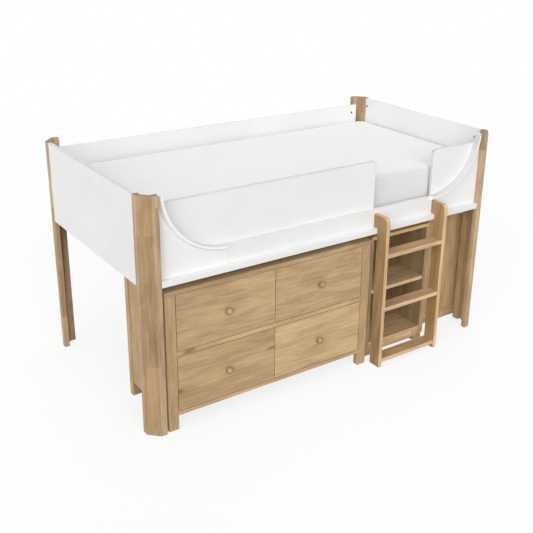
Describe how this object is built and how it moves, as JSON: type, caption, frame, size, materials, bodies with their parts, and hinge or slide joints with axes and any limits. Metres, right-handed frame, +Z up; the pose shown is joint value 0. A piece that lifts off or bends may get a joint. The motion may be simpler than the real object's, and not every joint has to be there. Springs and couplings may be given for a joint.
{
  "type": "low loft bed",
  "caption": "Low loft bed with bent corner posts, curved front boards, a short ladder, and a drawer chest, bookcase and pull-out desk set beneath it.",
  "frame": {"origin": "floor level, at the centre of the overall footprint, ladder included", "axes": "+X along the bed from the chest end to the desk end, +Y from the ladder side to the wall side, +Z up"},
  "size_m": [1.98, 1.13, 1.09],
  "materials": {
    "oak": "matt lacquered oak",
    "white_lacquer": "satin white lacquer",
    "pale_timber": "sawn timber",
    "mattress_cover": "white knitted cover",
    "bolt_steel": "zinc plated",
    "cap_plastic": "wood-coloured cap"
  },
  "bodies": {
    "bed": {"back_panel": "white_lacquer", "bookcase_back": "oak", "bookcase_bottom": "oak", "bookcase_plinth": "oak", "bookcase_shelf": "oak", "bookcase_side_left": "oak", "bookcase_side_right": "oak", "bookcase_top": "oak", "chest_back": "oak", "chest_front_leg_left": "oak", "chest_front_leg_right": "oak", "chest_front_rails": "oak", "chest_partition": "oak", "chest_rear_legs": "oak", "chest_side_left": "oak", "chest_side_right": "oak", "chest_top": "oak", "corner_trim_left": "white_lacquer", "corner_trim_right": "white_lacquer", "drawer_runners": "oak", "end_panel_left": "white_lacquer", "end_panel_right": "white_lacquer", "front_corner_board_left": "white_lacquer", "front_corner_board_right": "white_lacquer", "front_ledge": "white_lacquer", "front_rail": "white_lacquer", "guard_panel_left": "white_lacquer", "guard_panel_right": "white_lacquer", "ladder_screw_caps": "cap_plastic", "ladder_stile_left": "oak", "ladder_stile_right": "oak", "ladder_tread_lower": "oak", "ladder_tread_middle": "oak", "ladder_tread_upper": "oak", "mattress": "mattress_cover", "panel_bolts": "bolt_steel", "post_back_left": "oak", "post_back_right": "oak", "post_front_left": "oak", "post_front_right": "oak", "slat_bearers": "pale_timber", "slats": "pale_timber"},
    "drawer_lower_left": {"drawer_lower_left_front": "oak", "drawer_lower_left_box": "oak", "drawer_lower_left_knob": "oak"},
    "drawer_lower_right": {"drawer_lower_right_front": "oak", "drawer_lower_right_box": "oak", "drawer_lower_right_knob": "oak"},
    "drawer_upper_left": {"drawer_upper_left_front": "oak", "drawer_upper_left_box": "oak", "drawer_upper_left_knob": "oak"},
    "drawer_upper_right": {"drawer_upper_right_front": "oak", "drawer_upper_right_box": "oak", "drawer_upper_right_knob": "oak"},
    "desk": {"desk_bottom_rails": "oak", "desk_end_panels": "oak", "desk_legs": "oak", "desk_modesty_panel": "oak", "desk_top": "oak"}
  },
  "joints": [
    {"name": "drawer_lower_left_slide", "type": "slide", "parent": "bed", "child": "drawer_lower_left", "axis": [0, -1, 0], "range_m": [0, 0.28]},
    {"name": "drawer_lower_right_slide", "type": "slide", "parent": "bed", "child": "drawer_lower_right", "axis": [0, -1, 0], "range_m": [0, 0.28]},
    {"name": "drawer_upper_left_slide", "type": "slide", "parent": "bed", "child": "drawer_upper_left", "axis": [0, -1, 0], "range_m": [0, 0.28]},
    {"name": "drawer_upper_right_slide", "type": "slide", "parent": "bed", "child": "drawer_upper_right", "axis": [0, -1, 0], "range_m": [0, 0.28]},
    {"name": "desk_slide", "type": "slide", "parent": "bed", "child": "desk", "axis": [1, 0, 0], "range_m": [0, 0.3]}
  ]
}
